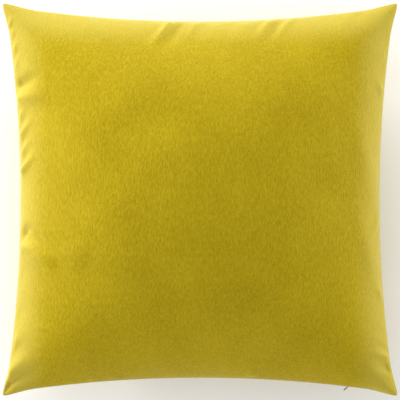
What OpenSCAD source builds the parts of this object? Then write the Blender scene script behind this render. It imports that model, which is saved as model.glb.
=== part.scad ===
// Square throw pillow: a zipped velvet cover over a sewn inner pad.
// It lies face up. +X runs to the right, +Y away from the zipped edge and +Z up through the crown.
// The origin is on the resting plane under the centre of the pillow.

/* [Cover] */
// Width of the filled cover from corner to corner, along the zipped edge
cover_w = 492; // [400:1:600]
// Depth of the filled cover from corner to corner, across the zipped edge
cover_d = 489; // [400:1:600]
// Radius of the inward bow of each edge
edge_bow_r = 1560; // [1100:10:4000]
// How far the corners flare out past the bow
corner_flare = 5.8; // [2:0.2:10]
// How far the rounding takes each corner tip back, along both edges
corner_round = 4; // [1:0.5:7]
// Height of the front's crown over the seam
front_crown = 86; // [60:1:120]
// Depth of the back's crown under the seam, before it is flattened
back_crown = 76; // [60:1:110]
// Height of the seam above the resting plane
seam_z = 68; // [50:1:75]
// Thickness of the velvet
velvet_t = 1.2; // [0.9:0.05:1.5]
// Width of the cover's seam allowance
allowance_w = 11; // [9:0.5:14]

/* [Pad] */
// Room between the cover and the pad over the crown
pad_ease = 1.2; // [0.8:0.1:3]
// Thickness of the pad's casing
casing_t = 0.5; // [0.4:0.1:1]
// Width of the casing's seam allowance
casing_allowance_w = 6; // [5:0.5:9]

/* [Zip] */
// Distance from each corner to the end of the zip
zip_end_gap = 51; // [46:1:90]
// Height of the mouth between the two folded edges
mouth_h = 3.2; // [2.6:0.1:4]
// Distance between neighbouring teeth of one row
tooth_pitch = 2; // [1.9:0.1:3]
// Diameter of the nylon wire that the teeth are wound from
tooth_d = 0.84; // [0.6:0.02:0.86]
// Width of each tape
tape_w = 11.8; // [9:0.2:14]
// Length of the slider
slider_l = 9; // [7:0.5:11]
// Half the height of the slider's plates
slider_half_h = 3.3; // [2.7:0.1:4]
// Length of the pull tab from its pivot
pull_l = 11; // [10:0.2:16]
// Height of the wide end of the pull tab
pull_h = 4.8; // [3.4:0.1:6]
// Resting angle of the pull tab from straight out, towards the left
pull_rest = 43; // [0:1:55]
// How far the pull tab swings to each side of straight out
pull_swing = 58; // [56:1:60]

/* [Hidden] */
$fn = 48;

velvet = "#B89F28";
lining = "#F1EEE6";
thread = "#A8901F";
zip_cloth = "#A38C20";
nylon = "#B09A35";
metal = "#8C8371";

// Fullness of the crown's section: a half would be an ellipse, and one a plain lens.
fullness = 0.58;
// The rounding of a corner fades out as this power of the distance from the centre.
round_power = 36;
// How far the tapes run on past the teeth.
tape_tail = 4;
// The flare of a corner starts this far from it, just past the end of the zip's tapes.
flare_reach = zip_end_gap - tape_tail - 2;

// Half the gap between the two folded edges along the closed seams.
seam_gap = 0.15;
// Shells that are levelled along the seam are first drawn this much nearer to it.
press = 0.05;
// The mouth fades out of the crown's section as this power of the distance from the centre.
mouth_power = 24;
// Each fold of velvet takes a little more room at the edge than its own thickness.
fold_t = velvet_t + 0.3;
// The folded edge at the zip is this deep. Behind it the allowance steps over the slider, and then runs
// on inwards at this slope. Places are [distance in, height over the seam].
lip_depth = 2 * velvet_t + 0.2;
fold_slope = 34;
fold_dir = [cos(fold_slope), sin(fold_slope)];
fold_down = [sin(fold_slope), -cos(fold_slope)];
fold_run = allowance_w - 2.4;

// The pad's edge stays clear of the overlocked raw edges.
overlock_t = 0.2;
overlock_reach = 0.8;
overlock_bite = 2;
stitch_in = 0.9;
thread_t = 0.3;
pad_inset = allowance_w + overlock_reach + 2;
casing_gap = 0.12;
fill_gap = 0.3;

// Layers of the zip, as distances in from the cover's edge. The folded edge hides the slider's front
// plate, and the tapes pass between the teeth and the back plate.
plate_t = 0.8;
tape_t = 0.5;
tape_gap = 0.45;
tape_part = 0.7;
front_plate_in = lip_depth + 1;
tooth_in = front_plate_in + plate_t + 0.58 + tooth_d / 2;
tape_in = tooth_in + tooth_d / 2 + 0.18;
back_plate_in = tape_in + tape_t + 0.4;
// Where the folded allowance turns inwards over the slider.
turn_at = [tape_in - 0.2, slider_half_h + 0.9];
tooth_root = 2.1;
tooth_cross = 0.6;
tooth_cord_h = 0.4;
flange_t = 0.4;
post_l = 2.6;
post_h = 0.8;
stop_l = 2.4;
travel_room = 0.5;

// The bail that holds the pull tab, and the tab's eye round it.
bail_l = 5.2;
bail_w = 0.9;
bail_h = mouth_h - 2;
pivot_r = 0.45;
pivot_in = front_plate_in - 0.55 - pivot_r;
bail_out = pivot_in - 1.9;
arm_in = bail_h / 2 + 0.35;
arm_out = mouth_h / 2 - 0.3;
arm_t = 0.9;
eye_l = 4;
// The tab's wide end starts past the lips, even when the tab has swung all the way.
lip_clear = 1.1;
neck_l = (pivot_in + lip_clear) / cos(pull_swing);

// Sizes along the grids that the soft pieces are drawn on.
cover_flat_cells = 7;
cover_edge_cells = 5;
pad_flat_cells = 5;
pad_edge_cells = 4;

// ---- The square's outline ----

// Drop of an arc of the edge's bow at a distance v from its middle, for an outline moved in by inset.
function bow(v, inset) = edge_bow_r + inset - sqrt(pow(edge_bow_r + inset, 2) - v * v);

// The corner's flare at a distance v from the edge's middle, for an edge that ends at half.
function flare(v, half) = corner_flare * pow(max(0, (abs(v) - half + flare_reach) / flare_reach), 1.5);

// Half width and half depth to the sharp corners, before they are rounded.
sharp_x = cover_w / 2 + corner_round;
sharp_y = cover_d / 2 + corner_round;
mid_x = sharp_x - bow(sharp_y, 0) - corner_flare;
mid_y = sharp_y - bow(sharp_x, 0) - corner_flare;

// The same, for an outline moved in by inset.
function corner_x(inset) = mid_x - inset + bow(sharp_y - inset, inset) + corner_flare;
function corner_y(inset) = mid_y - inset + bow(sharp_x - inset, inset) + corner_flare;

// Half width at y and half depth at x.
function edge_x(y, inset) = mid_x - inset + bow(y, inset) + flare(y, corner_y(inset));
function edge_y(x, inset) = mid_y - inset + bow(x, inset) + flare(x, corner_x(inset));

// Place in plan of the panel's own coordinates s and t, which run from -1 to 1 between its edges.
function plan(s, t, inset) =
    let (pull = corner_round * pow(abs(s * t), round_power))
    [s * (edge_x(t * corner_y(inset), inset) - pull), t * (edge_y(s * corner_x(inset), inset) - pull)];

// How high the crown stands at s and t, from 0 at the seam to 1 in the middle.
function crown(s, t) = pow(max(0, (1 - s * s) * (1 - t * t)), fullness);

// ---- The zip's arc ----

// The zipped edge bows in round this centre.
zip_r = edge_bow_r;
zip_cy = -(mid_y + edge_bow_r);
zip_half = cover_w / 2 - zip_end_gap;
zip_half_a = asin(zip_half / zip_r);
tape_half_a = asin((zip_half + tape_tail) / zip_r);
// An angle along the arc, for a length along the edge.
function along(length) = length / zip_r * 180 / PI;
top_stop_a = -zip_half_a + along(stop_l / 2);
slider_a = top_stop_a + along(stop_l / 2 + travel_room + slider_l / 2);
bottom_stop_a = zip_half_a - along(stop_l / 2);
slider_travel = bottom_stop_a - slider_a - along(stop_l / 2 + travel_room + slider_l / 2);
tooth_count = floor((bottom_stop_a - slider_a - along(stop_l / 2 + tooth_pitch + travel_room))
              / along(tooth_pitch));
echo(slider_hinge = [0, zip_cy, 0], slider_range = [0, slider_travel]);
echo(pull_range = [pull_rest - pull_swing, pull_rest + pull_swing]);
echo(pull_hinge = [-(zip_r + pivot_in) * sin(slider_a), zip_cy + (zip_r + pivot_in) * cos(slider_a), seam_z]);

// Moves a piece that is drawn at the middle of the zip to the angle a along it.
module on_zip(a) {
    translate([0, zip_cy, seam_z])
        rotate([0, 0, a])
            translate([0, zip_r, 0])
                children();
}

// Sweeps a flat outline, drawn as distance in from the edge against height over the seam.
module along_zip(half_a) {
    translate([0, zip_cy, seam_z])
        rotate([0, 0, 90 - half_a])
            rotate_extrude(angle = 2 * half_a, $fn = 720)
                translate([zip_r, 0])
                    children();
}

// ---- Soft shells drawn on a grid ----

// Where the grid's lines lie: even up to the end of the zip's tapes, then closer towards the edge.
even_share = (zip_half + tape_tail + 3) / corner_x(allowance_w + 2);
function half_lines(flat, edge) =
    [for (k = [1:flat]) even_share * k / flat,
     for (k = [1:edge]) even_share + (1 - even_share) * sin(90 * k / edge)];
function lines(flat, edge) =
    let (half = half_lines(flat, edge))
    [for (k = [len(half) - 1:-1:0]) -half[k], 0, for (v = half) v];

// The zip's share of the edge at s and t: 1 along the zip and 0 along the closed seams.
function zipped(s, t) = t < -0.999999 && abs(s) < even_share + 0.000001 ? 1 : 0;
function mouth(s, t) = t < 0 && abs(s) < even_share + 0.000001 ? pow(-t, mouth_power) : 0;

// The grid's border as pairs of line numbers, going round against the clock seen from above.
function border(n) =
    [for (k = [0:n - 1]) [k, 0],
     for (k = [0:n - 1]) [n, k],
     for (k = [0:n - 1]) [n - k, n],
     for (k = [0:n - 1]) [0, n - k]];

// The triangles of a grid. Each cell is cut along the diagonal that points to the nearest corner.
function grid_faces(n, first) =
    [for (a = [0:n - 1], b = [0:n - 1])
        let (p = first + a * (n + 1) + b)
        each (a < n / 2) == (b < n / 2)
            ? [[p, p + 1, p + n + 2], [p, p + n + 2, p + n + 1]]
            : [[p, p + 1, p + n + 1], [p + 1, p + n + 2, p + n + 1]]];
function turned(faces) = [for (f = faces) [f[2], f[1], f[0]]];

// Two rings of vertex numbers joined by a strip of triangles.
function strip_faces(p, q) =
    let (m = len(p))
    [for (k = [0:m - 1])
        let (j = (k + 1) % m)
        each [[p[k], p[j], q[j]], [p[k], q[j], q[k]]]];

// Vertex numbers of the border of a grid, and of a ring that stands after the grids.
function grid_ring(n, first) = [for (e = border(n)) first + e[0] * (n + 1) + e[1]];
function loose_ring(n, first) = [for (k = [0:4 * n - 1]) first + k];

// A sewn shell on one side of the seam. side is 1 above the seam and -1 below it.
// rings lists the corners of the allowance that joins the outer face to the inner one, from the fold
// inwards: each is [distance in, height over the seam] along the closed seams, and then along the zip.
module shell(side, ls, inset, gap, height, t, fold, lowest, rings, zip) {
    n = len(ls) - 1;
    lift = zip ? mouth_h / 2 - gap : 0;
    outer = [for (s = ls, v = ls)
        let (p = plan(s, v, inset))
        [p[0], p[1], max(lowest, seam_z + side * (gap + lift * mouth(s, v) + height * crown(s, v)))]];
    inner = [for (s = ls, v = ls)
        let (p = plan(s, v, inset + fold))
        [p[0], p[1], max(max(lowest, 0) + t,
            seam_z + side * (gap + t + lift * mouth(s, v) + (height - 2 * t) * crown(s, v)))]];
    between = [for (r = rings, e = border(n))
        let (s = ls[e[0]], v = ls[e[1]], at = r[zip ? zipped(s, v) : 0])
        let (p = plan(s, v, inset + at[0]))
        [p[0], p[1], seam_z + side * at[1]]];
    m = (n + 1) * (n + 1);
    chain = [grid_ring(n, 0), for (k = [0:len(rings) - 1]) loose_ring(n, 2 * m + 4 * n * k), grid_ring(n, m)];
    faces = concat(grid_faces(n, 0), turned(grid_faces(n, m)),
        [for (k = [0:len(chain) - 2]) each strip_faces(chain[k], chain[k + 1])]);
    polyhedron(points = concat(outer, inner, between), faces = side > 0 ? faces : turned(faces));
}

// A closed cushion shape: two crowned faces and a thin rim.
module cushion(ls, inset, rim, up, down, lowest) {
    n = len(ls) - 1;
    m = (n + 1) * (n + 1);
    top = [for (s = ls, v = ls)
        let (p = plan(s, v, inset))
        [p[0], p[1], seam_z + rim + up * crown(s, v)]];
    bottom = [for (s = ls, v = ls)
        let (p = plan(s, v, inset))
        [p[0], p[1], max(lowest, seam_z - rim - down * crown(s, v))]];
    polyhedron(points = concat(top, bottom), faces = concat(grid_faces(n, 0), turned(grid_faces(n, m)),
        strip_faces(grid_ring(n, 0), grid_ring(n, m))));
}

// A thread or binding that follows the outline. Its section is a list of [distance in, height] corners,
// clockwise when the distance runs to the right, and caps lists the section's quads by corner number.
// An open run leaves out the zip, and goes round from just past the zip's right end to its left end.
module run(ls, inset, section, caps, open) {
    n = len(ls) - 1;
    skip = open ? len([for (s = ls) if (s < even_share + 0.000001) s]) : 0;
    left_out = open ? 2 * skip - n - 1 : 0;
    way = border(n);
    kept = [for (k = [0:4 * n - 1 - left_out]) way[(k + skip) % (4 * n)]];
    m = len(kept);
    c = len(section);
    ring = [for (e = kept, at = section)
        let (p = plan(ls[e[0]], ls[e[1]], inset + at[0]))
        [p[0], p[1], seam_z + at[1]]];
    sides = [for (k = [0:open ? m - 2 : m - 1], j = [0:c - 1])
        let (a = c * k, b = c * ((k + 1) % m), d = (j + 1) % c)
        each [[a + j, b + d, b + j], [a + j, a + d, b + d]]];
    last = c * (m - 1);
    ends = [for (q = caps)
        each [[q[0], q[2], q[1]], [q[0], q[3], q[2]],
              [last + q[0], last + q[1], last + q[2]], [last + q[0], last + q[2], last + q[3]]]];
    polyhedron(points = ring, faces = open ? concat(sides, ends) : sides);
}

function box_section(near, far, low, high) = [[near, low], [near, high], [far, high], [far, low]];

// ---- Cover ----

cover_lines = lines(cover_flat_cells, cover_edge_cells);
raw_z = seam_gap + velvet_t;
fold_raw = turn_at + fold_run * fold_dir;
fold_over = -velvet_t * fold_down;
cover_rings = [
    [[3, seam_gap], [lip_depth, mouth_h / 2]],
    [[5, seam_gap], [lip_depth + 0.5, turn_at[1] - 0.2]],
    [[7, seam_gap], turn_at],
    [[allowance_w, seam_gap], fold_raw],
    [[allowance_w, raw_z], fold_raw + fold_over],
    [[7, raw_z], turn_at + fold_over],
    [[4, raw_z], [lip_depth + 0.3, turn_at[1] + 1]]
];

// Levels a shell along its seam, where it is pressed flat against the other side's.
module pressed(side, gap) {
    room = 2 * seam_z;
    difference() {
        children();
        translate([-cover_w, -cover_d, seam_z + side * gap - (side > 0 ? room : 0)])
            cube([2 * cover_w, 2 * cover_d, room]);
    }
}

module front_panel() {
    color(velvet)
        pressed(1, seam_gap)
            shell(1, cover_lines, 0, seam_gap - press, front_crown, velvet_t, fold_t, 0, cover_rings, true);
}

// The back is pressed flat where the pillow rests.
module back_panel() {
    color(velvet)
        difference() {
            shell(-1, cover_lines, 0, seam_gap, back_crown, velvet_t, fold_t, -back_crown, cover_rings, true);
            translate([-cover_w, -cover_d, -back_crown])
                cube([2 * cover_w, 2 * cover_d, back_crown]);
        }
}

module seam_thread() {
    color(thread)
        run(cover_lines, stitch_in, box_section(0, thread_t, 0.03 - seam_gap, seam_gap - 0.03),
            [[0, 1, 2, 3]], true);
}

// The overlocking lies over and under the two raw edges, and round them.
module overlock_thread() {
    near = raw_z + 0.1;
    far = near + overlock_t;
    web = overlock_reach - overlock_t;
    color(thread)
        run(cover_lines, allowance_w,
            [[-overlock_bite, -far], [-overlock_bite, -near], [web, -near], [web, near],
             [-overlock_bite, near], [-overlock_bite, far], [overlock_reach, far], [overlock_reach, -far]],
            [[0, 1, 2, 7], [2, 3, 6, 7], [3, 4, 5, 6]], true);
}

// ---- Zip ----

// Height of a line along the folded allowance, this far under it, at a distance in from the edge.
function under_fold(gap, in) =
    turn_at[1] + gap * fold_down[1] + (in - turn_at[0] - gap * fold_down[0]) * tan(fold_slope);

// The tape stands up through the slider, then lies under the folded allowance.
module tape_section() {
    turn = [tape_in, under_fold(tape_gap, tape_in)];
    far = turn + (tape_w - turn[1] + tape_part) * fold_dir;
    polygon([
        [tape_in, tape_part],
        [tape_in + tape_t, tape_part],
        [tape_in + tape_t, under_fold(tape_gap + tape_t, tape_in + tape_t)],
        far + tape_t * fold_down,
        far,
        turn
    ]);
}

module zip_tape_front() {
    color(zip_cloth)
        along_zip(tape_half_a) tape_section();
}

module zip_tape_back() {
    color(zip_cloth)
        along_zip(tape_half_a) mirror([0, 1]) tape_section();
}

// One row of teeth on its cord, from its own side of the seam to a little past the middle.
module teeth_row(side, shift) {
    first_a = slider_a + along(tooth_pitch + shift);
    for (k = [0:tooth_count - 1])
        on_zip(first_a + along(k * tooth_pitch))
            translate([0, tooth_in, side > 0 ? -tooth_cross : -tooth_root])
                cylinder(d = tooth_d, h = tooth_root + tooth_cross);
}

module zip_teeth_front() {
    color(nylon)
        teeth_row(1, 0);
}

module zip_teeth_back() {
    color(nylon)
        teeth_row(-1, tooth_pitch / 2);
}

// The rows of stitches that hold the tapes to the folded edges.
module zip_tape_stitches() {
    color(thread)
        for (side = [0, 1])
            along_zip(tape_half_a - along(1))
                mirror([0, side])
                    translate(turn_at + 5 * fold_dir + (tape_gap - 0.07) * fold_down)
                        rotate(fold_slope)
                            square([0.4, tape_gap - 0.14]);
}

module bar_tacks() {
    color(thread)
        for (side = [1, -1])
            on_zip(side * (zip_half_a + along(3)))
                translate([-1.5, 0.3, -mouth_h / 2 + 0.1])
                    cube([3, lip_depth - 0.6, mouth_h - 0.2]);
}

module zip_bottom_stop() {
    color(metal)
        on_zip(bottom_stop_a)
            translate([-stop_l / 2, tooth_in - tooth_d, -slider_half_h + 0.5])
                cube([stop_l, tape_in - 0.1 - tooth_in + tooth_d, 2 * slider_half_h - 1]);
}

module zip_top_stops() {
    color(metal)
        for (side = [1, -1])
            on_zip(top_stop_a)
                translate([-stop_l / 2, tooth_in - tooth_d, side > 0 ? tape_part : -slider_half_h + 0.5])
                    cube([stop_l, tape_in - 0.1 - tooth_in + tooth_d, slider_half_h - 0.5 - tape_part]);
}

// A square-ended arch from the front plate out through the mouth.
module bail_outline() {
    reach = front_plate_in - bail_out + 0.01;
    difference() {
        union() {
            translate([-bail_l / 2, bail_out + bail_w])
                square([bail_l, reach - bail_w]);
            translate([-bail_l / 2 + bail_w, bail_out])
                square([bail_l - 2 * bail_w, bail_w + 0.01]);
            for (side = [1, -1])
                translate([side * (bail_l / 2 - bail_w), bail_out + bail_w])
                    circle(r = bail_w);
        }
        translate([-bail_l / 2 + bail_w, bail_out + bail_w])
            square([bail_l - 2 * bail_w, reach]);
    }
}

module plate(at) {
    translate([-slider_l / 2, at, -slider_half_h])
        cube([slider_l, plate_t, 2 * slider_half_h]);
}

module zip_slider() {
    post_out = front_plate_in + plate_t;
    color(metal)
        on_zip(slider_a)
            union() {
                plate(front_plate_in);
                plate(back_plate_in);
                for (low = [-slider_half_h, slider_half_h - flange_t])
                    translate([-slider_l / 2, post_out - 0.01, low])
                        cube([slider_l, tape_in - 0.4 - post_out, flange_t]);
                translate([slider_l / 2 - post_l, post_out - 0.01, -post_h / 2])
                    cube([post_l, back_plate_in - post_out + 0.02, post_h]);
                translate([0, 0, -bail_h / 2])
                    linear_extrude(height = bail_h)
                        bail_outline();
            }
}

module zip_pull() {
    color(metal)
        on_zip(slider_a)
            translate([0, pivot_in, 0])
                rotate([0, 0, -90 - pull_rest])
                    union() {
                        translate([0, 0, -arm_out])
                            cylinder(r = pivot_r, h = 2 * arm_out);
                        for (side = [1, -1])
                            translate([0, -arm_t / 2, side * (arm_in + arm_out) / 2 - (arm_out - arm_in) / 2])
                                cube([eye_l + 0.01, arm_t, arm_out - arm_in]);
                        translate([eye_l, -arm_t / 2, -arm_out])
                            cube([neck_l - eye_l + 0.01, arm_t, 2 * arm_out]);
                        intersection() {
                            translate([neck_l, -arm_t / 2, -pull_h / 2])
                                cube([pull_l - neck_l, arm_t, pull_h]);
                            translate([pull_l - pull_h * 0.7, arm_t, 0])
                                rotate([90, 0, 0])
                                    cylinder(r = pull_h * 0.7, h = 2 * arm_t);
                        }
                    }
}

// ---- Pad ----

pad_lines = lines(pad_flat_cells, pad_edge_cells);
pad_front = front_crown - velvet_t - pad_ease;
pad_back = back_crown - velvet_t - pad_ease;
casing_rings = [
    [[casing_allowance_w, casing_gap]],
    [[casing_allowance_w, casing_gap + casing_t]]
];

module casing_front() {
    color(lining)
        pressed(1, casing_gap)
            shell(1, pad_lines, pad_inset, casing_gap - press, pad_front, casing_t, casing_t + 0.2,
                velvet_t + pad_ease, casing_rings, false);
}

module casing_back() {
    color(lining)
        pressed(-1, casing_gap)
            shell(-1, pad_lines, pad_inset, casing_gap - press, pad_back, casing_t, casing_t + 0.2,
                velvet_t + pad_ease, casing_rings, false);
}

module casing_thread() {
    color(lining)
        run(pad_lines, pad_inset + stitch_in, box_section(0, thread_t, 0.03 - casing_gap, casing_gap - 0.03),
            [], false);
}

module filling() {
    layer = casing_t + fill_gap;
    color("#FBFAF6")
        cushion(pad_lines, pad_inset + casing_allowance_w + 0.6, casing_gap + layer,
            pad_front - 2 * layer - 0.5, pad_back - 2 * layer - 0.5, velvet_t + pad_ease + layer);
}

front_panel();
back_panel();
seam_thread();
overlock_thread();
zip_tape_front();
zip_tape_back();
zip_teeth_front();
zip_teeth_back();
zip_tape_stitches();
bar_tacks();
zip_bottom_stop();
zip_top_stops();
zip_slider();
zip_pull();
casing_front();
casing_back();
casing_thread();
filling();
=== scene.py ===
"""Square throw pillow: a velvet cover with a hidden zip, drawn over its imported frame.

The cover's front and back are blown up by a cloth simulation from their real cut size, then folded,
turned in and given a wall. Lengths are millimetres until a mesh is made. The properties, the
materials and the stage are in metres, as Blender is.
"""

import math

import bpy
import numpy as np
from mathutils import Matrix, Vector


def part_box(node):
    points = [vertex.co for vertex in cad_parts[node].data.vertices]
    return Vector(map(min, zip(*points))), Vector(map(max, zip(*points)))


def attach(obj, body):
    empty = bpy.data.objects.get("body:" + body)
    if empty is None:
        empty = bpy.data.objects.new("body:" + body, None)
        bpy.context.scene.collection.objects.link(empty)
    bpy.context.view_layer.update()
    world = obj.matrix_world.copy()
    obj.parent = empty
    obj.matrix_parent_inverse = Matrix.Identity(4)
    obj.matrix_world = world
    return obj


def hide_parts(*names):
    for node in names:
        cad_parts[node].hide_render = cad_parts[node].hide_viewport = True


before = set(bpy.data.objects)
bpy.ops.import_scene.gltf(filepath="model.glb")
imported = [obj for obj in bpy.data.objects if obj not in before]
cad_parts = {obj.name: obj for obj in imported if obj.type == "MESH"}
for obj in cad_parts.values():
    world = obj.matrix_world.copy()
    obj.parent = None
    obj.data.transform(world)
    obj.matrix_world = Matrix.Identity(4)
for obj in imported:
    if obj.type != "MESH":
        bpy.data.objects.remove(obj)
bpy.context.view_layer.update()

bl_info = {
    "name": "Throw Pillow",
    "version": (1, 0, 0),
    "blender": (4, 5, 0),
    "location": "3D View > Sidebar > Pillow",
    "description": "Builds a square velvet throw pillow with a zip, and its stage",
    "category": "Object",
}

MM = 0.001
TINY = 1e-9
# Height of the seam over the floor, in metres.
SEAM_HEIGHT = 0.068

# The cover's outline: arcs of one radius, with a flare and a rounding at each corner.
BOW_RADIUS = 1560.0
CORNER_FLARE = 5.8
CORNER_ROUND = 4.0
FLARE_REACH = 45.0
ROUND_POWER = 36
# The crown's section is this power of a parabola.
FULLNESS = 0.58
# Half the gap between front and back at a closed seam, and half the zip's mouth.
SEAM_GAP = 0.15
MOUTH = 1.6
# The lips are open as far as the first share of the edge, and have closed by the second. The pocket
# behind them, which the zip's tapes lie in, goes on further. Up the panel the mouth fades as a
# power of t.
LIP_SHARES = (0.816, 0.850)
POCKET_SHARES = (0.862, 0.905)
MOUTH_POWER = 24
# Radius of the rolled fold where the velvet turns into the seam.
FOLD_RADIUS = 1.3
FOLD_STEPS = 5
# Corners of the turned-in allowance: distance in and height over the seam, along closed seams and
# the zip.
ALLOWANCE = (
    ((3.0, 0.15), (2.6, 1.6)),
    ((5.0, 0.15), (3.1, 4.0)),
    ((7.0, 0.15), (6.02, 4.2)),
    ((11.0, 0.15), (13.15, 9.01)),
    ((11.0, 1.35), (12.48, 10.0)),
    ((7.0, 1.35), (5.35, 5.2)),
    ((4.0, 1.35), (2.9, 5.2)),
)

# Cells along each edge of the simulated cloth. The finished surface has twice as many. Their
# lines crowd towards the seams by this share.
CLOTH_CELLS = 100
EDGE_CROWDING = 0.55
# The simulation: its frames, the pressure inside, the furthest that it may move a point, and how
# far apart the two cut squares lie.
CLOTH_FRAMES = 24
CLOTH_PRESSURE = 30.0
CLOTH_CAP = 14.0
CUT_GAP = 3.0
CLOTH_SETTINGS = {
    "quality": 5,
    "mass": 0.02,
    "tension_stiffness": 25,
    "compression_stiffness": 25,
    "shear_stiffness": 5,
    "bending_stiffness": 2.0,
    "air_damping": 4,
}

# From the middle of the cover to its seams, nearly. What is added to the cloth's shape grows from
# nothing at a seam to its full height this far in.
HALF_SPAN = 246
SEAM_HOLD = 5
# Random phases run over a whole turn.
PHASES = (0, 6.3)
# The filling's unevenness: how many waves, their lengths and their height together.
SWELLS = 9
SWELL_LENGTHS = (70, 190)
SWELL_HEIGHT = 1.2
SWELL_SEED = 5
# Gathers along the seams: depth, reach inwards, and radians from the middle of an edge to its end.
# Their phase and depth wander, as sums of waves of these sizes and rates. The share is how deep
# they usually are, and the power makes them shallow at an edge's ends.
PUCKER_DEPTH = 0.9
PUCKER_REACH = 16
PUCKER_TURNS = 34
PUCKER_SEED = 21
PUCKER_WAVES = 5
PUCKER_PHASE = ((1.2, 2.6), 1.7)
PUCKER_FADE = ((0.2, 0.5), 2.9)
PUCKER_SHARE = 0.45
PUCKER_END_POWER = 0.3
# The panels are held this far inside the outline, so that neither shows past the seam. Along the
# zip the back may stand out past it by the bulge.
RIM_INSET = 0.25
BULGE = 1.2
# The back flattens on the floor over this height, and its lowest point sinks this share of the way.
REST_SOFTNESS = 3.0
REST_SINK = 0.98

# Folds of the front that start at a seam, in plan: the place on the seam, the inner end, the half
# width at each, and the height there, which is negative for a crease.
SEAM_FOLDS = (
    ((-232, 141), (-192, 155), 4.5, 8.0, -6.2),
    ((-230, 124), (-180, 134), 7.0, 11.0, 5.7),
    ((-227, 95), (-214, 122), 3.0, 3.6, 4.1),
    ((-224, 76), (-206, 106), 3.0, 3.8, 4.3),
    ((-222, 56), (-206, 82), 3.0, 3.6, 3.2),
    ((-221, 34), (-201, 62), 3.0, 4.0, 4.9),
    ((-241, 211), (-233, 231), 2.6, 3.0, 3.2),
    ((-239, 196), (-229, 217), 2.6, 3.0, 3.2),
    ((-235, 179), (-226, 200), 2.6, 3.0, 3.2),
    ((-232, 161), (-223, 184), 2.6, 3.2, 2.7),
    ((-222, -46), (-209, -28), 3.4, 5.0, -5.9),
    ((-224, -62), (-190, -54), 6.0, 9.0, 4.6),
    ((-244, -222), (-206, -185), 5.0, 9.0, 4.6),
    ((-232, -229), (-184, -205), 6.0, 12.0, -4.3),
    ((-239, -189), (-218, -160), 4.0, 7.0, 3.2),
    ((233, 119), (216, 157), 2.8, 4.2, 4.6),
    ((225, -20), (203, -58), 3.0, 4.6, 4.6),
    ((229, -126), (213, -98), 3.2, 5.0, 3.2),
    ((240, -199), (206, -187), 4.0, 7.0, 3.8),
    ((243, -214), (211, -201), 4.0, 7.0, -3.5),
    ((-38, 218), (-67, 178), 3.4, 7.0, 4.3),
    ((-26, 217), (-50, 176), 4.0, 8.0, -3.8),
    ((-5, 217), (-21, 192), 3.4, 6.0, 2.4),
    ((85, 219), (62, 186), 3.4, 7.0, 3.0),
    ((97, 220), (77, 184), 4.0, 7.0, -2.2),
    ((112, 222), (94, 198), 3.4, 5.0, 2.4),
    ((-100, -231), (-111, -208), 4.0, 8.0, 2.7),
    ((62, -224), (73, -198), 4.0, 8.0, 2.7),
    ((-50, -228), (-61, -204), 4.0, 7.0, -2.2),
)
# The same for creases and swells that lie clear of the seams: start, end, half width, height.
FREE_FOLDS = (
    ((-216, -30), (-192, -58), 4.5, -2.4),
    ((-206, -44), (-162, -92), 6.0, -2.6),
    ((-220, -60), (-174, -80), 10.0, 4.4),
    ((-164, -56), (-138, -76), 13.0, 2.0),
    ((-112, 88), (-2, 96), 22.0, -1.6),
    ((115, 42), (191, -10), 24.0, -2.2),
    ((40, -192), (142, -203), 20.0, -2.2),
    ((186, 121), (216, -9), 13.0, 2.8),
    ((193, -8), (222, -122), 10.0, 2.2),
)
# A seam fold runs out past its seam, and is gone this many of its lengths away. A free fold fades
# towards its ends as (1 - u^2 / spread)^2, with u from -1 to 1 along it.
FOLD_TAIL = 1.4
FREE_FOLD_SPREAD = 1.6

# The pad: cells along its edges, how far its casing's outer and inner faces lie in from the seam,
# half the gap at the casing's seam, the casing's wall, and the room between it and the back's
# crown.
PAD_CELLS = 60
PAD_INSET = 13.8
PAD_LINING_INSET = 14.5
PAD_GAP = 0.12
PAD_WALL = 0.5
PAD_ROOM = 2.4
# The fibre inside it, in the same way.
FILL_INSET = 24.0
FILL_GAP = 0.5
FILL_ROOM = 4

# The stage, in metres: half the floor's side and its depth under the pillow, the camera's height
# over the seam, the width that it sees there, and how far it stands off centre.
FLOOR_REACH = 6.0
FLOOR_DROP = 0.0004
CAMERA_HEIGHT = 2.6
FIELD = 0.5
CAMERA_Y = -0.0006
WORLD_STRENGTH = 0.63
LIGHT_AIM = (0.0, 0.0, 0.08)
# Softboxes: place, side in metres, and watts.
LIGHTS = {
    "left": ((-2.0, 0.35, 0.40), 0.8, 43.0),
    "top": ((-0.35, 2.0, 0.55), 0.9, 40.0),
    "right": ((2.0, 0.35, 0.24), 0.5, 25.0),
    "front": ((0.0, -2.0, 0.50), 0.9, 11.0),
}


class PillowSizes(bpy.types.PropertyGroup):
    """Sizes that a user would change."""

    width: bpy.props.FloatProperty(
        name="Width", description="Filled width from corner to corner",
        default=0.492, unit="LENGTH")
    depth: bpy.props.FloatProperty(
        name="Depth", description="Filled depth from corner to corner",
        default=0.489, unit="LENGTH")
    cut: bpy.props.FloatProperty(
        name="Cut size", description="Side of each velvet square between its seams, before filling",
        default=0.500, unit="LENGTH")
    seam_height: bpy.props.FloatProperty(
        name="Seam height", description="Height of the seam over the floor",
        default=SEAM_HEIGHT, unit="LENGTH")
    front_crown: bpy.props.FloatProperty(
        name="Front crown", description="Height of the front over the seam",
        default=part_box("front_panel")[1].z - SEAM_HEIGHT, unit="LENGTH")
    back_crown: bpy.props.FloatProperty(
        name="Back crown", description="Depth of the back under the seam, before it is laid down",
        default=0.076, unit="LENGTH")
    velvet_thickness: bpy.props.FloatProperty(
        name="Velvet thickness", description="Thickness of the velvet with its pile",
        default=0.0012, unit="LENGTH")
    fill: bpy.props.FloatProperty(
        name="Fill", description="How tightly the pillow is stuffed, from 0 to 1",
        default=0.85, min=0.0, max=1.0, subtype="FACTOR")


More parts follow.
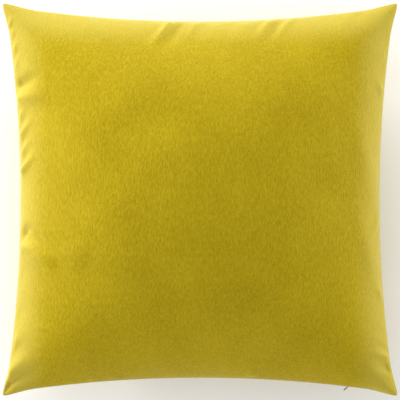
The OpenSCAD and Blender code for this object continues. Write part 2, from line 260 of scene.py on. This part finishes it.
def linear(code):
    """An sRGB hex colour as linear RGBA: each channel c becomes ((c + 0.055) / 1.055) ** 2.4."""
    channels = [int(code[k:k + 2], 16) / 255 for k in (1, 3, 5)]
    curved = [c / 12.92 if c <= 0.04045 else ((c + 0.055) / 1.055) ** 2.4 for c in channels]
    return (*curved, 1.0)


def colour(name, text, code):
    """A colour property whose default is a hex colour."""
    return bpy.props.FloatVectorProperty(
        name=name, description=text, default=linear(code),
        subtype="COLOR", size=4, min=0.0, max=1.0)


class PillowColours(bpy.types.PropertyGroup):
    """Colours that a user would change."""

    velvet_deep: colour("Velvet, deep", "The pile seen end on, down to its roots", "#958000")
    velvet_light: colour("Velvet, light", "The pile where it leans away from the eye", "#BCA518")
    # A painted highlight: a paler tone laid over the velvet along the side and top seams, where the
    # lights fall. The bottom seam has none.
    velvet_painted_highlight: colour("Velvet, pressed", "The pile pressed over along the seams", "#BCAA44")
    velvet_sheen: colour("Velvet sheen", "Light caught by the sides of the fibres", "#FFF8CC")
    thread: colour("Sewing thread", "Polyester thread", "#B09A22")
    tape: colour("Zip tape", "Dyed polyester tape", "#A6911D")
    teeth: colour("Zip teeth", "Dyed nylon", "#9C8718")
    metal: colour("Zip metal", "Plated zinc alloy", "#8A7A66")
    lining: colour("Pad casing", "Unbleached cotton", "#F1EEE6")
    floor: colour("Floor", "Matt white paper", "#FDFDFD")


# ---- Shape of the pillow ----

def smooth(x):
    """Rises from 0 to 1 as x does, as 3x^2 - 2x^3."""
    x = np.clip(x, 0.0, 1.0)
    return x * x * (3 - 2 * x)


class Outline:
    """The sewn outline, in plan. s and t run from -1 to 1 between opposite edges."""

    def __init__(self, sizes):
        self.sharp = (sizes.width / MM / 2 + CORNER_ROUND, sizes.depth / MM / 2 + CORNER_ROUND)
        self.mid = (self.sharp[0] - self.bow(self.sharp[1], 0) - CORNER_FLARE,
                    self.sharp[1] - self.bow(self.sharp[0], 0) - CORNER_FLARE)

    def bow(self, v, inset):
        """Drop of a circular arc at v from its middle: r - sqrt(r^2 - v^2)."""
        r = BOW_RADIUS + inset
        return r - np.sqrt(r * r - np.square(v))

    def corner(self, axis, inset):
        """Distance of a corner from the centre line."""
        return self.mid[axis] - inset + self.bow(self.sharp[1 - axis] - inset, inset) + CORNER_FLARE

    def edge(self, axis, v, inset):
        """Distance of an edge from the centre line at v along it: middle, bow and flare added."""
        flare = (np.abs(v) - self.corner(1 - axis, inset) + FLARE_REACH) / FLARE_REACH
        middle = self.mid[axis] - inset
        return middle + self.bow(v, inset) + CORNER_FLARE * np.maximum(flare, 0) ** 1.5

    def plan(self, s, t, inset=0.0):
        """x is s times the half width at t, less the corners' rounding, and y likewise."""
        pull = CORNER_ROUND * np.abs(s * t) ** ROUND_POWER
        x = s * (self.edge(0, t * self.corner(1, inset), inset) - pull)
        y = t * (self.edge(1, s * self.corner(0, inset), inset) - pull)
        return x, y


def crown(s, t):
    """Height from 0 at the seams to 1 in the middle: ((1 - s^2)(1 - t^2)) to the fullness."""
    return (np.maximum(0, (1 - s * s) * (1 - t * t))) ** FULLNESS


def mouth(s, t, shares):
    """How far the zip parts the seam: 1 along it, fading up the panel and between two shares."""
    closing = 1 - smooth((np.abs(s) - shares[0]) / (shares[1] - shares[0]))
    return np.where(t < 0, np.abs(t) ** MOUTH_POWER, 0.0) * closing


def lines(cells):
    """Grid lines from -1 to 1, crowding towards the edges: a blend of u and sin(pi u / 2)."""
    u = np.linspace(-1, 1, cells + 1)
    return (1 - EDGE_CROWDING) * u + EDGE_CROWDING * np.sin(math.pi * u / 2)


def grid_lines(cells):
    """s and t at every point of a grid."""
    return np.meshgrid(lines(cells), lines(cells), indexing="ij")


def panel(outline, side, sizes, cells):
    """One velvet panel as a grid: the plan, and the seam's height plus or minus fold and crown."""
    s, t = grid_lines(cells)
    x, y = outline.plan(s, t)
    high = (sizes.front_crown if side > 0 else sizes.back_crown) / MM - FOLD_RADIUS - SEAM_GAP
    lift = SEAM_GAP + FOLD_RADIUS + (MOUTH - SEAM_GAP) * mouth(s, t, LIP_SHARES)
    z = sizes.seam_height / MM + side * (lift + high * crown(s, t))
    return np.stack([x, y, z], axis=-1)


def rested(points):
    """Flattens a panel where it rests: z becomes r ln(1 + e^(z / r)), then sinks to the floor."""
    r, far = REST_SOFTNESS, 4 * REST_SOFTNESS
    z = points[..., 2]
    z = np.where(z > far, z, r * np.log1p(np.exp(np.minimum(z, far) / r)))
    points[..., 2] = z - z.min() * np.exp(-z / far) * REST_SINK
    return points


def finer(grid):
    """Doubles a grid's cells. A new point is (-1, 9, 9, -1) / 16 of four in a row: a cubic."""
    for axis in (0, 1):
        g = np.moveaxis(grid, axis, 0)
        first, last = 2 * g[:1] - g[1:2], 2 * g[-1:] - g[-2:-1]
        around = np.concatenate([first, g, last])
        middle = (9 * (around[1:-2] + around[2:-1]) - around[:-3] - around[3:]) / 16
        out = np.empty((2 * g.shape[0] - 1,) + g.shape[1:])
        out[0::2], out[1::2] = g, middle
        grid = np.moveaxis(out, 0, axis)
    return grid


def normals(grid):
    """Unit normals of a grid: the cross product of its two directions of travel."""
    n = np.cross(np.gradient(grid, axis=0), np.gradient(grid, axis=1))
    return n / np.maximum(np.linalg.norm(n, axis=-1, keepdims=True), TINY)


# ---- Mesh tools ----

def grid_quads(n, first=0):
    """Corners of each cell of an (n + 1) by (n + 1) grid, against the clock seen from above."""
    a, b = np.meshgrid(np.arange(n), np.arange(n), indexing="ij")
    p = (first + a * (n + 1) + b).ravel()
    return np.stack([p, p + n + 1, p + n + 2, p + 1], axis=1)


def border(n):
    """Row and column of a grid's border points, going round against the clock seen from above."""
    k = np.arange(n)
    zero, full = np.zeros(n, int), np.full(n, n)
    return np.concatenate([k, full, n - k, zero]), np.concatenate([zero, k, full, n - k])


def border_vertices(n):
    """Vertex numbers of a grid's border points."""
    rows, columns = border(n)
    return rows * (n + 1) + columns


def strip(ring, other):
    """Quads between two rings of vertex numbers."""
    return np.stack([ring, other, np.roll(other, -1), np.roll(ring, -1)], axis=1)


def shell_quads(n):
    """Quads of a closed shell: one grid, a second one turned over, and the rim between them."""
    edge, count = border_vertices(n), (n + 1) ** 2
    return np.concatenate([grid_quads(n), grid_quads(n, count)[:, ::-1], strip(edge, edge + count)])


def stacked(upper, lower):
    """The points of two grids in one list."""
    return np.concatenate([upper.reshape(-1, 3), lower.reshape(-1, 3)])


def make(name, points, quads, material, body):
    """A mesh object in metres, smooth-shaded, that rides on a body."""
    mesh = bpy.data.meshes.new(name)
    mesh.from_pydata((points.reshape(-1, 3) * MM).tolist(), [], quads.tolist())
    mesh.polygons.foreach_set("use_smooth", np.ones(len(mesh.polygons), bool))
    mesh.materials.append(material)
    mesh.update()
    piece = bpy.data.objects.new(name, mesh)
    bpy.context.scene.collection.objects.link(piece)
    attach(piece, body)
    return piece


# ---- Velvet cover ----

def simulated(start, cut, quads, held):
    """Fills a mesh as cloth: it wants its cut shape, air pushes it out, some points are held."""
    scene = bpy.context.scene
    mesh = bpy.data.meshes.new("cloth")
    mesh.from_pydata(start.tolist(), [], quads.tolist())
    cloth = bpy.data.objects.new("cloth", mesh)
    scene.collection.objects.link(cloth)
    cloth.shape_key_add(name="Basis")
    key = cloth.shape_key_add(name="Cut")
    key.data.foreach_set("co", cut.ravel())
    cloth.vertex_groups.new(name="seam").add(held.tolist(), 1.0, "REPLACE")
    modifier = cloth.modifiers.new("Cloth", "CLOTH")
    modifier.point_cache.frame_start = 1
    modifier.point_cache.frame_end = CLOTH_FRAMES
    settings = modifier.settings
    settings.vertex_group_mass = "seam"
    settings.rest_shape_key = key
    settings.effector_weights.gravity = 0.0
    settings.use_pressure = True
    settings.uniform_pressure_force = CLOTH_PRESSURE
    for name, value in CLOTH_SETTINGS.items():
        setattr(settings, name, value)
    for number in range(1, CLOTH_FRAMES + 1):
        scene.frame_set(number)
    done = cloth.evaluated_get(bpy.context.evaluated_depsgraph_get())
    points = np.empty(len(start) * 3, np.float32)
    done.data.vertices.foreach_get("co", points)
    bpy.data.objects.remove(cloth)
    bpy.data.meshes.remove(mesh)
    scene.frame_set(1)
    return points.reshape(-1, 3).astype(float)


def blown_up(front, back, side):
    """Blows the two panels up as cloth cut square, with the seam held. The cap limits each move."""
    n = CLOTH_CELLS
    edge = border_vertices(n)
    start = stacked(front, back) * MM
    s, t = grid_lines(n)
    flat = np.stack([s * side / 2, t * side / 2, np.zeros_like(s)], axis=-1)
    flat += np.array([0, 0, front[0, 0, 2] * MM])
    cut = stacked(flat, flat - (0, 0, CUT_GAP * MM))
    held = np.concatenate([edge, edge + (n + 1) ** 2])
    moved = simulated(start, cut, shell_quads(n), held) - start
    far = np.linalg.norm(moved, axis=1, keepdims=True)
    points = start + moved * np.minimum(1, CLOTH_CAP * MM / np.maximum(far, TINY))
    return points.reshape(2, n + 1, n + 1, 3) / MM


def along(points, start, end):
    """How far along a line each point lies, from 0 to 1, and how far to its side."""
    way = np.subtract(end, start).astype(float)
    length = math.hypot(*way)
    from_start = points[..., :2] - start
    aside = (from_start[..., 0] * way[1] - from_start[..., 1] * way[0]) / length
    return from_start @ way / length ** 2, aside


def folded(points):
    """Adds each fold's height: h exp(-(d / w)^2), fading from the seam inwards or to both ends."""
    height = np.zeros(points.shape[:2])
    for start, end, near, far, tall in SEAM_FOLDS:
        v, aside = along(points, start, end)
        width = near + (far - near) * np.clip(v, 0, 1)
        height += tall * smooth(1 - v) * smooth(FOLD_TAIL + v) * np.exp(-(aside / width) ** 2)
    for start, end, width, tall in FREE_FOLDS:
        v, aside = along(points, start, end)
        fade = np.maximum(0, 1 - (2 * v - 1) ** 2 / FREE_FOLD_SPREAD) ** 2
        height += tall * fade * np.exp(-(aside / width) ** 2)
    return points + normals(points) * height[..., None]


def held_in(points, outline, side):
    """Keeps a panel from showing past its seam: x and y are clipped a little inside the edges.

    The back keeps its bulge along the zip, under the front's lip. The rim itself stays as it is.
    """
    rim = points.copy()
    for axis in (0, 1):
        limit = outline.edge(axis, points[..., 1 - axis], RIM_INSET)
        low = -limit if axis == 0 or side > 0 else -limit - BULGE
        points[..., axis] = np.clip(points[..., axis], low, limit)
    for k in (0, -1):
        points[k], points[:, k] = rim[k], rim[:, k]
    return points


def wander(rng, k, place, sizes, rate):
    """One wave of a seeded size and phase, k times the rate."""
    return rng.uniform(*sizes) * np.sin(k * rate * place + rng.uniform(*PHASES))


def puckered(points, s, t, seed):
    """Gathers the cloth along its seams: a sine along each edge whose phase and depth wander."""
    rng = np.random.default_rng(seed)
    height = np.zeros_like(s)
    for across, place in ((s, t), (t, s)):
        for end in (-1, 1):
            phase = np.zeros_like(place)
            depth = np.zeros_like(place)
            for k in range(1, PUCKER_WAVES + 1):
                phase += wander(rng, k, place, *PUCKER_PHASE)
                depth += wander(rng, k, place, *PUCKER_FADE)
            depth = PUCKER_DEPTH * smooth(PUCKER_SHARE + depth)
            depth = depth * (1 - place ** 2) ** PUCKER_END_POWER
            gap = (1 - end * across) * HALF_SPAN
            fade = smooth(gap / SEAM_HOLD) * np.exp(-(gap / PUCKER_REACH) ** 2)
            height += depth * fade * np.sin(place * PUCKER_TURNS + phase)
    return points + normals(points) * height[..., None]


def waved(points, s, t, seed):
    """Soft unevenness of the filling: a sum of long sine waves in seeded directions."""
    rng = np.random.default_rng(seed)
    height = np.zeros_like(s)
    for _ in range(SWELLS):
        turn, length = rng.uniform(0, math.pi), rng.uniform(*SWELL_LENGTHS)
        way = points[..., 0] * math.cos(turn) + points[..., 1] * math.sin(turn)
        wave = np.sin(2 * math.pi * way / length + rng.uniform(*PHASES))
        height += wave * length / SWELL_LENGTHS[1]
    usual = math.sqrt(SWELLS)
    return points + normals(points) * (SWELL_HEIGHT / usual * height * crown(s, t))[..., None]


def rolled(share, half):
    """Section of a panel's edge, as (inset, height): a quarter circle, then the allowance."""
    section = [(np.full_like(share, FOLD_RADIUS * (1 - math.cos(angle))),
                half + FOLD_RADIUS * (1 - math.sin(angle)))
               for angle in np.linspace(0, math.pi / 2, FOLD_STEPS + 1)[1:]]
    return section + [tuple(closed[k] * (1 - share) + zipped[k] * share for k in (0, 1))
                      for closed, zipped in ALLOWANCE]


def walled(outer, outline, side, seam, thickness):
    """A closed panel: its outer face, rolled fold, turned-in allowance and inner face."""
    n = outer.shape[0] - 1
    rows, columns = border(n)
    s, t = lines(n)[rows], lines(n)[columns]
    inner = outer - normals(outer) * side * thickness
    inner[..., 2] = np.maximum(inner[..., 2], thickness)
    half = SEAM_GAP + (MOUTH - SEAM_GAP) * mouth(s, t, LIP_SHARES)
    rings = []
    for inset, height in rolled(mouth(s, t, POCKET_SHARES), half):
        x, y = outline.plan(s, t, inset)
        rings.append(np.stack([x, y, seam + side * height], axis=-1))
    count, edge = (n + 1) ** 2, border_vertices(n)
    chain = [2 * count + 4 * n * k + np.arange(4 * n) for k in range(len(rings))]
    chain = [edge, *chain, edge + count]
    faces = [grid_quads(n), grid_quads(n, count)[:, ::-1]]
    faces += [strip(ring, other) for ring, other in zip(chain[:-1], chain[1:])]
    faces = np.concatenate(faces)
    return np.concatenate([stacked(outer, inner)] + rings), faces if side > 0 else faces[:, ::-1]


class PILLOW_OT_cover(bpy.types.Operator):
    """Sew, fill and fold the velvet cover's front and back"""

    bl_idname = "pillow.cover"
    bl_label = "Velvet cover"

    def execute(self, context):
        sizes = context.scene.pillow_sizes
        outline = Outline(sizes)
        panels = [panel(outline, side, sizes, CLOTH_CELLS) for side in (1, -1)]
        panels = blown_up(*panels, sizes.cut)
        material = cut_pile_velvet(context.scene.pillow_colours)
        s, t = grid_lines(2 * CLOTH_CELLS)
        gap = (1 - np.maximum(np.abs(s), np.abs(t))) * HALF_SPAN
        hold = smooth(gap / SEAM_HOLD)[..., None]
        for side, name, grid in zip((1, -1), ("front", "back"), panels):
            held = finer(grid)
            flip = np.array([1, 1, side])
            grid = waved(held * flip, s, t, SWELL_SEED + side)
            grid = puckered(grid, s, t, PUCKER_SEED + side)
            if side > 0:
                grid = folded(grid)
            grid = held_in(held + (grid * flip - held) * hold, outline, side)
            if side < 0:
                grid = rested(grid)
            points, faces = walled(
                grid, outline, side, sizes.seam_height / MM, sizes.velvet_thickness / MM)
            piece = make("velvet_" + name, points, faces, material, "cushion")
            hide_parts(name + "_panel")
        return {"FINISHED"}


# ---- Materials ----

def add(tree, kind, inputs=None, **settings):
    """Adds a node, sets its properties, and fills its inputs with values or links."""
    made = tree.nodes.new(kind)
    for name, value in settings.items():
        setattr(made, name, value)
    for name, value in (inputs or {}).items():
        if isinstance(value, bpy.types.NodeSocket):
            tree.links.new(value, made.inputs[name])
        else:
            made.inputs[name].default_value = value
    return made


def material_of(name, **sockets):
    """A new material with its tree, its Principled shader, and object coordinates."""
    material = bpy.data.materials.new(name)
    material.use_nodes = True
    shader = material.node_tree.nodes["Principled BSDF"]
    for socket, value in sockets.items():
        shader.inputs[socket.replace("_", " ")].default_value = value
    place = add(material.node_tree, "ShaderNodeTexCoord").outputs["Object"]
    return material, material.node_tree, shader, place


def darker(rgba, share):
    """A colour with its channels at that share."""
    return tuple(c * share for c in rgba[:3]) + (1.0,)


def noise(tree, place, size, detail=2.0, **inputs):
    """A noise whose features are about that size in metres."""
    return add(tree, "ShaderNodeTexNoise",
               {"Vector": place, "Scale": 1 / size, "Detail": detail, **inputs}).outputs["Fac"]


def bands(tree, place, size, way, **inputs):
    """Waves along X or Y, 0.31 of the size apart, or DIAGONAL, 0.63 of it apart along an axis."""
    return add(tree, "ShaderNodeTexWave", {"Vector": place, "Scale": 1 / size, **inputs},
               wave_type="BANDS", bands_direction=way).outputs["Fac"]


def math_node(tree, operation, *values):
    """A sum, product or other result of values and links."""
    return add(tree, "ShaderNodeMath", dict(enumerate(values)), operation=operation).outputs[0]


def mixed(tree, share, a, b):
    """A colour from a at 0 to b at 1."""
    mix = add(tree, "ShaderNodeMix", {"Factor": share, "A": a, "B": b}, data_type="RGBA")
    return mix.outputs["Result"]


def coat(tree, shader, tone, height=None, strength=0.0, depth=0.0):
    """Gives a shader its colour, and a bump of a depth in metres."""
    tree.links.new(tone, shader.inputs["Base Color"])
    if height is not None:
        bump = add(tree, "ShaderNodeBump",
                   {"Height": height, "Strength": strength, "Distance": depth})
        tree.links.new(bump.outputs["Normal"], shader.inputs["Normal"])


def cut_pile_velvet(colours):
    """Cotton velvet, cut and brushed: dark seen end on, bright where its pile turns away, with a
    painted highlight along the side and top seams.
    """
    material, tree, shader, place = material_of(
        "cut_pile_velvet", Roughness=0.6, Specular_IOR_Level=0.05,
        Sheen_Weight=0.65, Sheen_Roughness=0.34, Sheen_Tint=tuple(colours.velvet_sheen))
    # Patches about 70 mm across where the pile has been stroked another way.
    patches = noise(tree, place, 0.07)
    # Streaks of nap, running up the cover. Drawn coarser than real ones, 1.9 mm wide and 6 mm long.
    drawn = add(tree, "ShaderNodeMapping", {"Vector": place, "Scale": (1.0, 0.3, 1.0)}).outputs[0]
    streaks = noise(tree, drawn, 0.0019, Roughness=0.6)
    # Tufts of pile. Real ones are 0.3 mm apart; drawn coarser, at 1.6 mm, so that they show.
    tufts = noise(tree, place, 0.0016)
    # The tone comes mostly from the streaks.
    pile = math_node(tree, "MULTIPLY", patches, 0.20)
    pile = math_node(tree, "MULTIPLY_ADD", streaks, 0.55, pile)
    pile = math_node(tree, "MULTIPLY_ADD", tufts, 0.35, pile)
    shade = add(tree, "ShaderNodeMapRange", {"Value": pile, "From Min": 0.25, "From Max": 0.87},
                interpolation_type="SMOOTHSTEP").outputs[0]
    tone = mixed(tree, shade, tuple(colours.velvet_deep), tuple(colours.velvet_light))
    # Over the last 40 mm or so before the side and top seams the tone is mixed towards a paler
    # colour. This is a painted highlight where the lights from the left, top and right fall on the
    # edges. The bottom seam has none.
    axes = add(tree, "ShaderNodeSeparateXYZ", {0: place}).outputs
    reach = math_node(tree, "MAXIMUM", math_node(tree, "ABSOLUTE", axes["X"]), axes["Y"])
    painted_highlight = add(tree, "ShaderNodeMapRange",
                  {"Value": reach, "From Min": 0.185, "From Max": 0.228, "To Max": 0.7},
                  interpolation_type="SMOOTHSTEP").outputs[0]
    # The painted highlight is mixed into the base colour here.
    tone = mixed(tree, painted_highlight, tone, tuple(colours.velvet_painted_highlight))
    coat(tree, shader, tone, math_node(tree, "ADD", tufts, streaks), 0.65, 0.0008)
    return material


def spun_polyester(colours):
    """Spun polyester thread, twisted and dyed: a soft gloss broken by the twist of its plies."""
    material, tree, shader, place = material_of(
        "spun_polyester_thread", Roughness=0.55, Specular_IOR_Level=0.4, Sheen_Weight=0.2)
    # Twists 1.9 mm apart along the thread, coarser than real ones, so that they show.
    plies = bands(tree, place, 0.0031, "DIAGONAL", Distortion=1.5, Detail=1.0)
    tone = mixed(tree, plies, darker(colours.thread, 0.7), tuple(colours.thread))
    coat(tree, shader, tone, plies, 0.6, 0.0002)
    return material


def woven_tape(colours):
    """Zip tape, polyester woven in a fine herringbone and dyed: matt, ribbed along its length."""
    material, tree, shader, place = material_of(
        "woven_polyester_tape", Roughness=0.8, Specular_IOR_Level=0.25, Sheen_Weight=0.25)
    # Ribs 1.2 mm apart and picks 0.8 mm apart, twice as coarse as real ones, so that they show.
    ribs = bands(tree, place, 0.0038, "Y", Distortion=0.4)
    picks = bands(tree, place, 0.0025, "X", Distortion=0.4)
    weave = math_node(tree, "MULTIPLY", ribs, picks)
    tone = mixed(tree, weave, darker(colours.tape, 0.7), tuple(colours.tape))
    coat(tree, shader, tone, weave, 0.5, 0.0002)
    return material


def wound_nylon(colours):
    """Nylon wire, drawn, dyed and wound into teeth: smooth, waxy, a little clear at its edges."""
    material, tree, shader, place = material_of(
        "wound_nylon_teeth", Roughness=0.35, IOR=1.53,
        Subsurface_Weight=0.1, Subsurface_Scale=0.0005)
    # Dye takes unevenly, over patches of about 3 mm.
    dye = noise(tree, place, 0.003)
    coat(tree, shader, mixed(tree, dye, darker(colours.teeth, 0.8), tuple(colours.teeth)))
    return material


def plated_zinc(colours):
    """Zinc alloy, die-cast, plated and tumbled: warm grey, with fine scuffs that dull its gloss."""
    material, tree, shader, place = material_of("plated_die_cast_zinc", Metallic=1.0)
    # Scuffs of 0.3 mm, and plating that has worn a little over 2 mm.
    scuffs = noise(tree, place, 0.0003, detail=3.0)
    worn = noise(tree, place, 0.002)
    gloss = add(tree, "ShaderNodeMapRange", {"Value": scuffs, "To Min": 0.28, "To Max": 0.5})
    tree.links.new(gloss.outputs[0], shader.inputs["Roughness"])
    tone = mixed(tree, worn, darker(colours.metal, 0.75), tuple(colours.metal))
    coat(tree, shader, tone, scuffs, 0.15, 0.0001)
    return material


def plain_cotton(colours, name, thread):
    """Cotton, woven plain and left unbleached: matt off-white with an even grid of threads."""
    material, tree, shader, place = material_of(
        name, Roughness=0.9, Specular_IOR_Level=0.2, Sheen_Weight=0.15)
    # Threads this far apart both ways. One wave, an over and an under, is two threads.
    size = thread * MM * 2 * math.pi
    warp = bands(tree, place, size, "X", Distortion=0.6)
    weft = bands(tree, place, size, "Y", Distortion=0.6)
    weave = math_node(tree, "MULTIPLY", warp, weft)
    tone = mixed(tree, weave, darker(colours.lining, 0.8), tuple(colours.lining))
    coat(tree, shader, tone, weave, 0.4, 0.0003)
    return material


def matt_paper(colours):
    """White paper, rolled and matt: very slight clouds that keep the floor from looking flat."""
    material, tree, shader, place = material_of(
        "matt_white_paper", Roughness=0.95, Specular_IOR_Level=0.1)
    # Clouds 300 mm across.
    clouds = noise(tree, place, 0.3)
    coat(tree, shader, mixed(tree, clouds, darker(colours.floor, 0.985), tuple(colours.floor)))
    return material


def finish(material, *names):
    """Gives CAD nodes a material in place of their plain one."""
    for name in names:
        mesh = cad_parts[name].data
        mesh.materials.clear()
        mesh.materials.append(material)


# ---- Pad ----

def casing(outline, side, tall, seam, low):
    """A casing panel: a crowned outer face, and an inner one that lies a wall inside it."""
    s, t = grid_lines(PAD_CELLS)
    rise = PAD_GAP + (tall - PAD_GAP) * crown(s, t)
    x, y = outline.plan(s, t, PAD_INSET)
    outer = np.stack([x, y, np.maximum(seam + side * rise, low)], axis=-1)
    x, y = outline.plan(s, t, PAD_LINING_INSET)
    rise = rise + PAD_WALL - 2 * PAD_WALL * crown(s, t)
    return stacked(outer, np.stack([x, y, np.maximum(seam + side * rise, low + PAD_WALL)], axis=-1))


def filling(outline, high, deep, seam, low):
    """The fibre as one body: a crowned top, and a bottom that is flat where it rests."""
    s, t = grid_lines(PAD_CELLS)
    x, y = outline.plan(s, t, FILL_INSET)
    top = seam + FILL_GAP + (high - seam - FILL_GAP) * crown(s, t)
    bottom = np.maximum(seam - FILL_GAP - deep * crown(s, t), low)
    return stacked(np.stack([x, y, top], axis=-1), np.stack([x, y, bottom], axis=-1))


class PILLOW_OT_pad(bpy.types.Operator):
    """Make the pad inside the cover: two casing panels round a body of fibre"""

    bl_idname = "pillow.pad"
    bl_label = "Inner pad"

    def execute(self, context):
        sizes, colours = context.scene.pillow_sizes, context.scene.pillow_colours
        outline = Outline(sizes)
        seam, deep = sizes.seam_height / MM, sizes.back_crown / MM
        cotton = plain_cotton(colours, "plain_cotton_casing", 1.2)
        fibre = plain_cotton(colours, "carded_polyester_fibre", 6.0)
        faces = shell_quads(PAD_CELLS)
        for side, name in ((1, "front"), (-1, "back")):
            low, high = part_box("casing_" + name)
            tall = (high.z / MM - seam) if side > 0 else deep - PAD_ROOM
            piece = make("pad_casing_" + name, casing(outline, side, tall, seam, low.z / MM),
                         faces if side > 0 else faces[:, ::-1], cotton, "cushion")
            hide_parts("casing_" + name)
        low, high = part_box("filling")
        body = filling(outline, high.z / MM, deep - FILL_ROOM, seam, low.z / MM)
        piece = make("pad_filling", body, faces, fibre, "cushion")
        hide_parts("filling")
        return {"FINISHED"}


class PILLOW_OT_threads(bpy.types.Operator):
    """Give the seams, overlocking and bar tacks their thread"""

    bl_idname = "pillow.threads"
    bl_label = "Threads"

    def execute(self, context):
        finish(spun_polyester(context.scene.pillow_colours), "seam_thread", "overlock_thread",
               "casing_thread", "zip_tape_stitches", "bar_tacks")
        return {"FINISHED"}


class PILLOW_OT_zip(bpy.types.Operator):
    """Give the zip's tapes, teeth, stops, slider and pull tab their finishes"""

    bl_idname = "pillow.zip"
    bl_label = "Zip"

    def execute(self, context):
        colours = context.scene.pillow_colours
        finish(woven_tape(colours), "zip_tape_front", "zip_tape_back")
        finish(wound_nylon(colours), "zip_teeth_front", "zip_teeth_back")
        finish(plated_zinc(colours), "zip_bottom_stop", "zip_top_stops", "zip_slider", "zip_pull")
        return {"FINISHED"}


# ---- Stage ----

def softbox(name, place, side, power):
    """A white square area light of that side in metres, turned to face the pillow."""
    light = bpy.data.lights.new(name, "AREA")
    light.shape, light.size, light.energy = "SQUARE", side, power
    lamp = bpy.data.objects.new(name, light)
    lamp.location = place
    lamp.rotation_euler = (Vector(LIGHT_AIM) - Vector(place)).to_track_quat("-Z", "Y").to_euler()
    bpy.context.scene.collection.objects.link(lamp)


def lay_floor(material):
    """A flat square under the pillow."""
    mesh = bpy.data.meshes.new("floor")
    far, low = FLOOR_REACH, -FLOOR_DROP
    mesh.from_pydata([(-far, -far, low), (far, -far, low), (far, far, low), (-far, far, low)], [],
                     [(0, 1, 2, 3)])
    mesh.materials.append(material)
    floor = bpy.data.objects.new("floor", mesh)
    bpy.context.scene.collection.objects.link(floor)


class PILLOW_OT_stage(bpy.types.Operator):
    """Lay the floor, and set the lights and the camera straight over the pillow"""

    bl_idname = "pillow.stage"
    bl_label = "Stage"

    def execute(self, context):
        scene = context.scene
        lay_floor(matt_paper(scene.pillow_colours))
        world = bpy.data.worlds.new("soft_studio")
        world.use_nodes = True
        background = world.node_tree.nodes["Background"]
        background.inputs["Color"].default_value = linear("#FFFFFF")
        background.inputs["Strength"].default_value = WORLD_STRENGTH
        scene.world = world
        for name, light in LIGHTS.items():
            softbox(name, *light)

        camera = bpy.data.cameras.new("camera")
        camera.lens = camera.sensor_width * CAMERA_HEIGHT / FIELD
        eye = bpy.data.objects.new("camera", camera)
        eye.location = (0.0, CAMERA_Y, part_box("seam_thread")[0].z + CAMERA_HEIGHT)
        scene.collection.objects.link(eye)
        scene.camera = eye
        scene.view_settings.view_transform = "Standard"
        return {"FINISHED"}


class VIEW3D_PT_pillow(bpy.types.Panel):
    """The pillow's pieces, sizes and colours"""

    bl_label = "Throw pillow"
    bl_space_type = "VIEW_3D"
    bl_region_type = "UI"
    bl_category = "Pillow"

    def draw(self, context):
        for group in (context.scene.pillow_sizes, context.scene.pillow_colours):
            for name in group.__annotations__:
                self.layout.prop(group, name)
        for operator in OPERATORS:
            self.layout.operator(operator.bl_idname)


OPERATORS = (PILLOW_OT_cover, PILLOW_OT_pad, PILLOW_OT_threads, PILLOW_OT_zip, PILLOW_OT_stage)
CLASSES = (PillowSizes, PillowColours, *OPERATORS, VIEW3D_PT_pillow)


def register():
    for kind in CLASSES:
        bpy.utils.register_class(kind)
    bpy.types.Scene.pillow_sizes = bpy.props.PointerProperty(type=PillowSizes)
    bpy.types.Scene.pillow_colours = bpy.props.PointerProperty(type=PillowColours)


def unregister():
    del bpy.types.Scene.pillow_colours
    del bpy.types.Scene.pillow_sizes
    for kind in reversed(CLASSES):
        bpy.utils.unregister_class(kind)


def main():
    register()
    for operator in OPERATORS:
        getattr(bpy.ops.pillow, operator.bl_idname.split(".")[1])()


if __name__ == "__main__":
    main()
